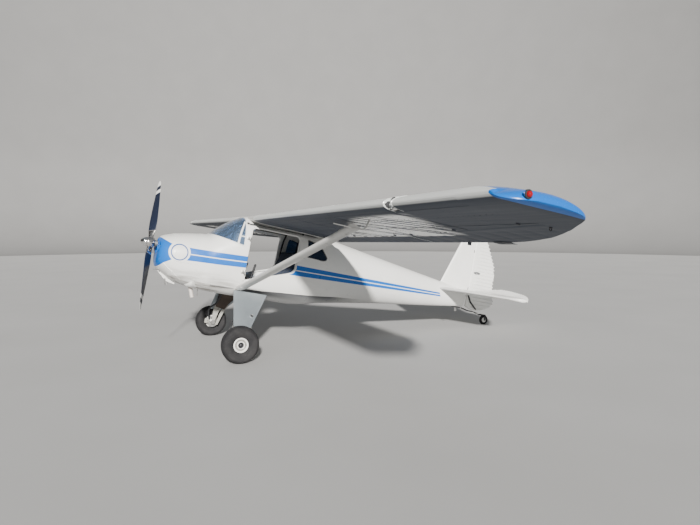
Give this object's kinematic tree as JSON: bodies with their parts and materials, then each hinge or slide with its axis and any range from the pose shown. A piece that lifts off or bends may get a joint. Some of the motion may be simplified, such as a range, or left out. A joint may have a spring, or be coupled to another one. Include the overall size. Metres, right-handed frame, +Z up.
{
  "type": "light aircraft",
  "caption": "Small high-wing two-seat light aircraft with braced wings, a two-blade propeller, fixed tailwheel landing gear and its doors taken off.",
  "frame": {"origin": "on the ground under the middle of the bounding box, as parked", "axes": "+X towards the tail, +Y along the right wing, +Z up"},
  "size_m": [5.7358, 10.706, 2.2854],
  "materials": {
    "white_paint": "gloss",
    "blue_paint": "gloss",
    "silver_paint": "satin",
    "silver_skin": "satin",
    "engine_grey": "matte",
    "exhaust_steel": "satin",
    "bare_steel": "satin",
    "dark_steel": "satin",
    "polished_metal": "polished",
    "blade_paint": "satin",
    "window_glass": "clear",
    "lamp_glass": "clear",
    "red_lens": "gloss",
    "green_lens": "gloss",
    "tyre_rubber": "matte",
    "wheel_paint": "satin",
    "cabin_lining": "matte",
    "seat_fabric": "matte",
    "panel_black": "matte"
  },
  "bodies": {
    "airframe": {"nose_bowl": "blue_paint", "cowl_upper": "white_paint", "cowl_lower": "white_paint", "chin_scoop": "white_paint", "engine_block": "engine_grey", "exhaust_pipe": "exhaust_steel", "firewall": "bare_steel", "cabin_side_left": "white_paint", "cabin_side_right": "white_paint", "cabin_belly": "white_paint", "windshield": "window_glass", "quarter_window_left": "window_glass", "quarter_window_right": "window_glass", "tail_cone": "white_paint", "cabin_roof": "silver_skin", "wing_left": "silver_skin", "wing_tip_left": "blue_paint", "wing_right": "silver_skin", "wing_tip_right": "blue_paint", "landing_light": "lamp_glass", "wing_strut_left": "silver_paint", "wing_strut_right": "silver_paint", "gear_leg_left": "silver_paint", "gear_leg_right": "silver_paint", "fin": "white_paint", "stabiliser_left": "white_paint", "stabiliser_right": "white_paint", "cabin_floor": "cabin_lining", "seat_cushion": "seat_fabric", "seat_back": "seat_fabric", "instrument_panel": "panel_black", "control_sticks": "panel_black", "nav_light_left": "red_lens", "nav_light_right": "green_lens", "tail_spring": "dark_steel"},
    "propeller": {"propeller": "blade_paint", "propeller_cap": "polished_metal"},
    "wheel_left": {"tyre_left": "tyre_rubber", "wheel_left": "wheel_paint"},
    "wheel_right": {"tyre_right": "tyre_rubber", "wheel_right": "wheel_paint"},
    "tail_fork": {"tail_wheel_fork": "dark_steel"},
    "tail_wheel": {"tail_wheel_tyre": "tyre_rubber", "tail_wheel_hub": "wheel_paint"},
    "rudder": {"rudder": "white_paint"},
    "elevators": {"elevators": "white_paint"},
    "flap_left": {"flap_left": "silver_skin"},
    "flap_right": {"flap_right": "silver_skin"},
    "aileron_left": {"aileron_left": "silver_skin"},
    "aileron_right": {"aileron_right": "silver_skin"}
  },
  "joints": [
    {"name": "propeller_spin", "type": "hinge", "parent": "airframe", "child": "propeller", "pos_m": [-2.69802, 0, 1.4631], "axis": [0.9801, 0, -0.1987], "continuous": true},
    {"name": "wheel_left_spin", "type": "hinge", "parent": "airframe", "child": "wheel_left", "pos_m": [-1.77412, -0.975, 0.232], "axis": [0, 1, 0], "continuous": true},
    {"name": "wheel_right_spin", "type": "hinge", "parent": "airframe", "child": "wheel_right", "pos_m": [-1.77412, 0.975, 0.232], "axis": [0, 1, 0], "continuous": true},
    {"name": "tail_wheel_steer", "type": "hinge", "parent": "airframe", "child": "tail_fork", "pos_m": [2.59128, 0, 0.165], "axis": [0, 0, 1], "range_deg": [-35, 35], "stiffness_Nm_per_rad": 10},
    {"name": "tail_wheel_spin", "type": "hinge", "parent": "tail_fork", "child": "tail_wheel", "pos_m": [2.66928, 0, 0.08], "axis": [0, 1, 0], "continuous": true},
    {"name": "rudder_turn", "type": "hinge", "parent": "airframe", "child": "rudder", "pos_m": [2.40978, 0, 0.9143], "axis": [0.1987, 0, 0.9801], "range_deg": [-22, 22]},
    {"name": "elevator_tilt", "type": "hinge", "parent": "airframe", "child": "elevators", "pos_m": [2.28308, 0, 0.5911], "axis": [0, 1, 0], "range_deg": [-11, 36]},
    {"name": "flap_left_lower", "type": "hinge", "parent": "airframe", "child": "flap_left", "pos_m": [-0.52452, -1.7275, 1.5728], "axis": [-0.0032, 0.9999, -0.0151], "range_deg": [0, 30]},
    {"name": "flap_right_lower", "type": "hinge", "parent": "airframe", "child": "flap_right", "pos_m": [-0.52452, 1.7275, 1.5728], "axis": [0.0032, 0.9999, 0.0151], "range_deg": [0, 30]},
    {"name": "aileron_left_tilt", "type": "hinge", "parent": "airframe", "child": "aileron_left", "pos_m": [-0.65252, -3.8825, 1.6436], "axis": [0.128, 0.9904, -0.0521], "range_deg": [-18, 18]},
    {"name": "aileron_right_tilt", "type": "hinge", "parent": "airframe", "child": "aileron_right", "pos_m": [-0.65252, 3.8825, 1.6436], "axis": [-0.128, 0.9904, 0.0521], "range_deg": [-18, 18]}
  ],
  "couplings": [
    {"joint": "flap_right_lower", "follows": "flap_left_lower", "ratio": 1},
    {"joint": "aileron_right_tilt", "follows": "aileron_left_tilt", "ratio": -1}
  ]
}
